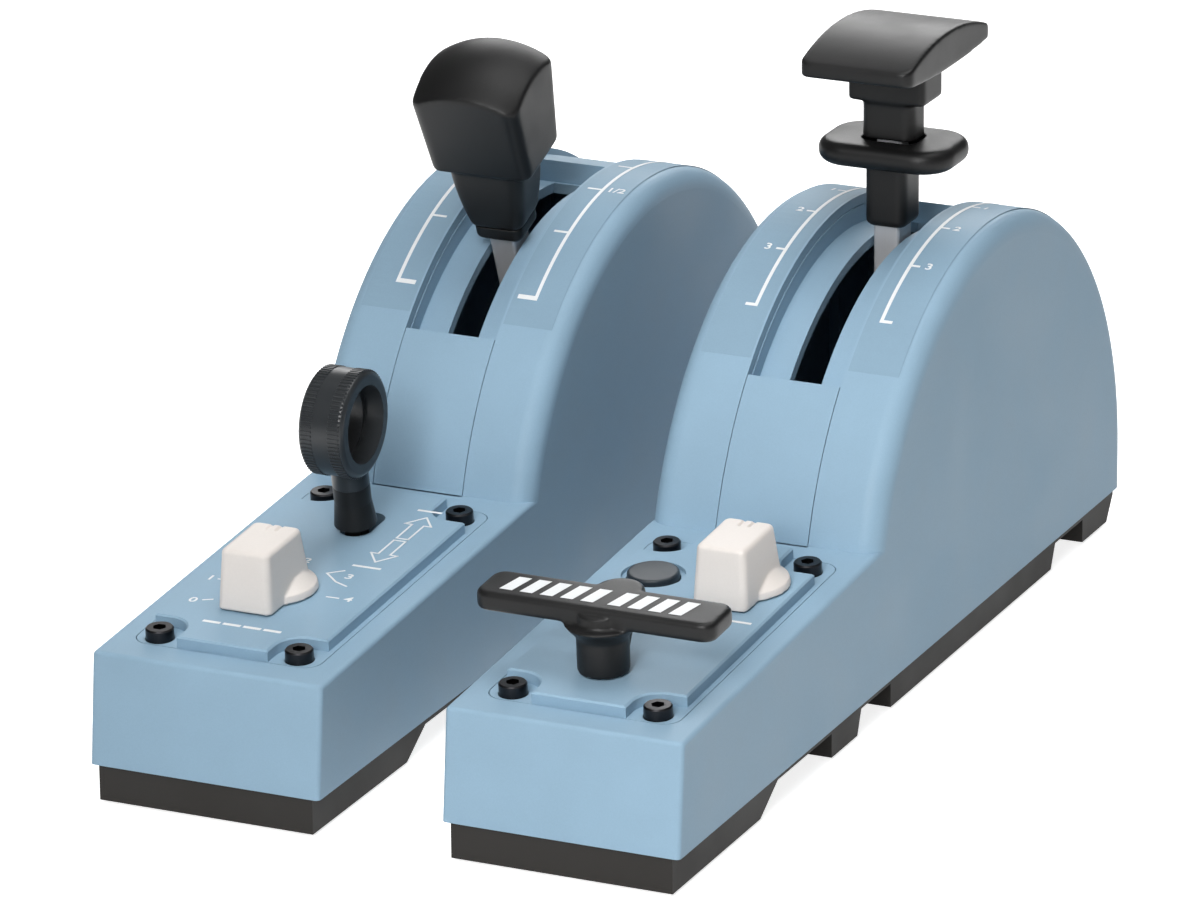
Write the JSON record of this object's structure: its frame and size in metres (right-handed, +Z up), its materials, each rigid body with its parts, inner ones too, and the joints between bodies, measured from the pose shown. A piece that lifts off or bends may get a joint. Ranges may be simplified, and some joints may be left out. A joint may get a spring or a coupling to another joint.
{
  "type": "throttle quadrant",
  "caption": "Flight-simulator throttle quadrant in two blue-grey modules with speed brake, gear and flap levers, a parking brake handle, rotary knobs and a push button.",
  "frame": {"origin": "bottom centre of the pair, on the surface it stands on", "axes": "+X to the pilot's right across the two modules, +Y away from the pilot towards the domes, +Z up"},
  "size_m": [0.1566, 0.2884, 0.1554],
  "materials": {
    "blue_grey_plastic": "satin moulded shell",
    "base_plastic": "matt moulded tray",
    "black_plastic": "fine matt grain",
    "off_white_plastic": "satin",
    "button_plastic": "satin",
    "zinc": "polished die casting",
    "steel": "plain sheet and bar",
    "black_steel": "black oxide",
    "white_nylon": "plain",
    "felt_pad": "dense friction felt",
    "magnet": "nickel plated",
    "circuit_board": "solder mask",
    "rubber_foot": "matt",
    "brass": "knurled insert"
  },
  "bodies": {
    "root": {"base_screws": "black_steel", "board_screws": "steel", "button_switch": "black_plastic", "flap_detent_sector": "steel", "foot_pads": "rubber_foot", "frame_screws": "steel", "gear_bracket": "black_plastic", "gear_pin": "steel", "left_ballast_plate": "steel", "left_base_tray": "base_plastic", "left_control_board": "circuit_board", "left_control_plate": "blue_grey_plastic", "left_friction_pad": "felt_pad", "left_housing": "blue_grey_plastic", "left_pivot_frame": "steel", "left_rear_socket": "black_plastic", "left_sensor_board": "circuit_board", "left_sensor_posts": "white_nylon", "left_shaft_bushes": "white_nylon", "left_track_strip": "blue_grey_plastic", "link_inserts": "brass", "park_brake_switch": "black_plastic", "plate_screws": "black_steel", "right_ballast_plate": "steel", "right_base_tray": "base_plastic", "right_control_board": "circuit_board", "right_control_plate": "blue_grey_plastic", "right_friction_pad": "felt_pad", "right_housing": "blue_grey_plastic", "right_pivot_frame": "steel", "right_rear_socket": "black_plastic", "right_sensor_board": "circuit_board", "right_sensor_posts": "white_nylon", "right_shaft_bushes": "white_nylon", "right_track_strip": "blue_grey_plastic", "selector_switch": "black_plastic", "trim_encoder": "black_plastic"},
    "speed_brake_lever": {"speed_brake_arm": "zinc", "speed_brake_collar": "black_plastic", "left_pivot_shaft": "steel", "left_retaining_rings": "steel", "left_shaft_magnet": "magnet"},
    "speed_brake_grip": {"speed_brake_knob": "black_plastic"},
    "gear_lever": {"gear_knob": "black_plastic", "gear_stem": "black_plastic"},
    "brake_selector": {"selector_knob": "off_white_plastic", "selector_shaft": "steel"},
    "flap_lever": {"flap_arm": "zinc", "flap_handle": "black_plastic", "flap_detent_roller": "white_nylon", "right_pivot_shaft": "steel", "right_retaining_rings": "steel", "right_shaft_magnet": "magnet"},
    "flap_lift_ring": {"flap_collar": "black_plastic"},
    "trim": {"trim_knob": "off_white_plastic", "trim_shaft": "steel"},
    "park_brake": {"park_brake_handle": "black_plastic", "park_brake_spindle": "steel"},
    "button": {"push_button": "button_plastic"}
  },
  "joints": [
    {"name": "speed_brake_swing", "type": "hinge", "parent": "root", "child": "speed_brake_lever", "pos_m": [-0.0473, 0.05905, 0.0232], "axis": [1, 0, 0], "range_deg": [-23, 19]},
    {"name": "speed_brake_pull", "type": "slide", "parent": "speed_brake_lever", "child": "speed_brake_grip", "axis": [0, -0.3584, 0.9336], "range_m": [0, 0.004], "stiffness_N_per_m": 900},
    {"name": "gear_swing", "type": "hinge", "parent": "root", "child": "gear_lever", "pos_m": [-0.0473, -0.05615, 0.03], "axis": [-1, 0, 0], "range_deg": [0, 22.4]},
    {"name": "selector_turn", "type": "hinge", "parent": "root", "child": "brake_selector", "pos_m": [-0.0502, -0.09953, 0.04383], "axis": [0, -0.0652, 0.9979], "range_deg": [-90, 135]},
    {"name": "flap_swing", "type": "hinge", "parent": "root", "child": "flap_lever", "pos_m": [0.0473, 0.05905, 0.0232], "axis": [1, 0, 0], "range_deg": [-11.4, 34.2]},
    {"name": "flap_ring_lift", "type": "slide", "parent": "flap_lever", "child": "flap_lift_ring", "axis": [0, 0, 1], "range_m": [0, 0.004], "stiffness_N_per_m": 600},
    {"name": "trim_turn", "type": "hinge", "parent": "root", "child": "trim", "pos_m": [0.0577, -0.05842, 0.04652], "axis": [0, -0.0652, 0.9979], "range_deg": [-45, 45], "stiffness_Nm_per_rad": 0.05},
    {"name": "park_brake_turn", "type": "hinge", "parent": "root", "child": "park_brake", "pos_m": [0.0463, -0.116, 0.04276], "axis": [0, -0.0652, 0.9979], "range_deg": [-90, 0]},
    {"name": "button_press", "type": "slide", "parent": "root", "child": "button", "axis": [0, 0.0652, -0.9979], "range_m": [0, 0.0014], "stiffness_N_per_m": 600}
  ]
}
